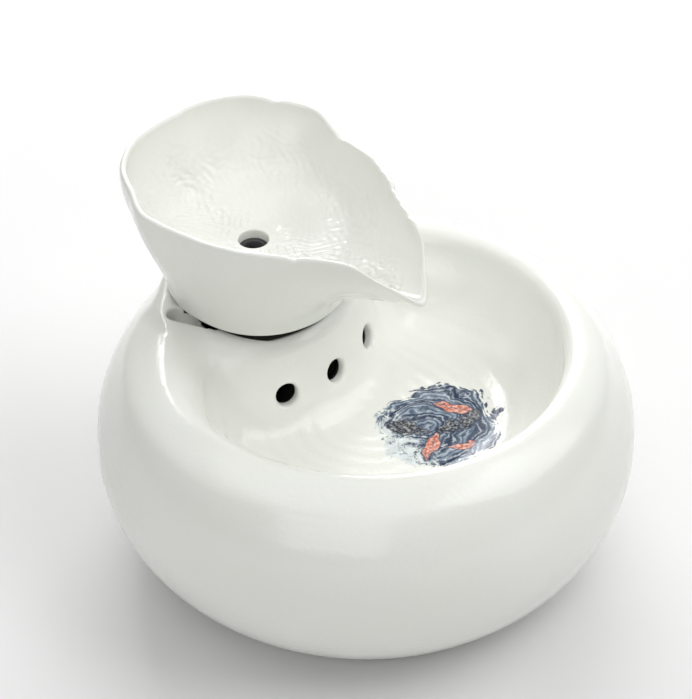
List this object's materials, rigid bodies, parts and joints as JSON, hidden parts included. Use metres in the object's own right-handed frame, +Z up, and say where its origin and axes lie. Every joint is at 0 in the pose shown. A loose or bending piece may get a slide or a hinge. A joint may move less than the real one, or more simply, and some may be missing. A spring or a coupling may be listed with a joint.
{
  "type": "pet water fountain",
  "caption": "Glazed ceramic pet drinking fountain: a round open basin with a leaf-shaped upper bowl that pours back into it, and a small submersible pump inside.",
  "frame": {"origin": "on the ground, on the axis of the round body, which is the middle of the foot ring and lies within 2 mm of the middle of the whole part's box", "axes": "+Z up; -Y the way the leaf bowl's spout points, over the open basin; +Y to the back, where the pump chamber is; +X to the right of someone who faces +Y"},
  "size_m": [0.25, 0.2535, 0.1756],
  "materials": {
    "glazed_ceramic": "glossy off-white glaze over a light clay body",
    "silicone": "translucent satin silicone",
    "carbon_foam": "open-cell foam filled with carbon",
    "black_foam": "open-cell foam",
    "pump_shell": "fine-grained moulding",
    "potting_resin": "cast resin",
    "dial_plastic": "fine-grained moulding",
    "impeller_plastic": "smooth moulding",
    "bobbin_nylon": "natural moulding",
    "black_rubber": "soft satin",
    "copper_wire": "enamelled copper winding",
    "core_steel": "stacked laminations",
    "ferrite": "sintered, ground",
    "shaft_ceramic": "polished"
  },
  "bodies": {
    "base": {"base_bowl": "glazed_ceramic", "pump_well": "glazed_ceramic", "riser_tube": "silicone", "return_filter": "carbon_foam", "pump_housing": "pump_shell", "stator_core": "core_steel", "coil_bobbin": "bobbin_nylon", "coil_winding": "copper_wire", "potting_cover": "potting_resin", "cord_gland": "black_rubber", "pump_shaft": "shaft_ceramic", "rear_bush": "black_rubber", "front_bush": "black_rubber", "volute_cover": "pump_shell", "volute_seal": "black_rubber", "intake_grille": "pump_shell", "intake_sponge": "black_foam", "suction_cups": "black_rubber"},
    "leaf_pivot": {"leaf_seal": "silicone"},
    "leaf": {"leaf_bowl": "glazed_ceramic"},
    "rotor": {"rotor_magnet": "ferrite", "impeller": "impeller_plastic"},
    "dial": {"flow_dial": "dial_plastic"}
  },
  "joints": [
    {"name": "leaf_turn", "type": "hinge", "parent": "base", "child": "leaf_pivot", "pos_m": [0, 0.07, 0.125], "axis": [0, 0, 1], "range_deg": [-20, 20]},
    {"name": "leaf_lift", "type": "slide", "parent": "leaf_pivot", "child": "leaf", "axis": [0, 0, 1], "range_m": [0, 0.06]},
    {"name": "impeller_spin", "type": "hinge", "parent": "base", "child": "rotor", "pos_m": [0, 0.085, 0.042], "axis": [0, 1, 0], "continuous": true},
    {"name": "flow_dial_turn", "type": "hinge", "parent": "base", "child": "dial", "pos_m": [0, 0.057, 0.042], "axis": [0, -1, 0], "range_deg": [0, 90]}
  ]
}
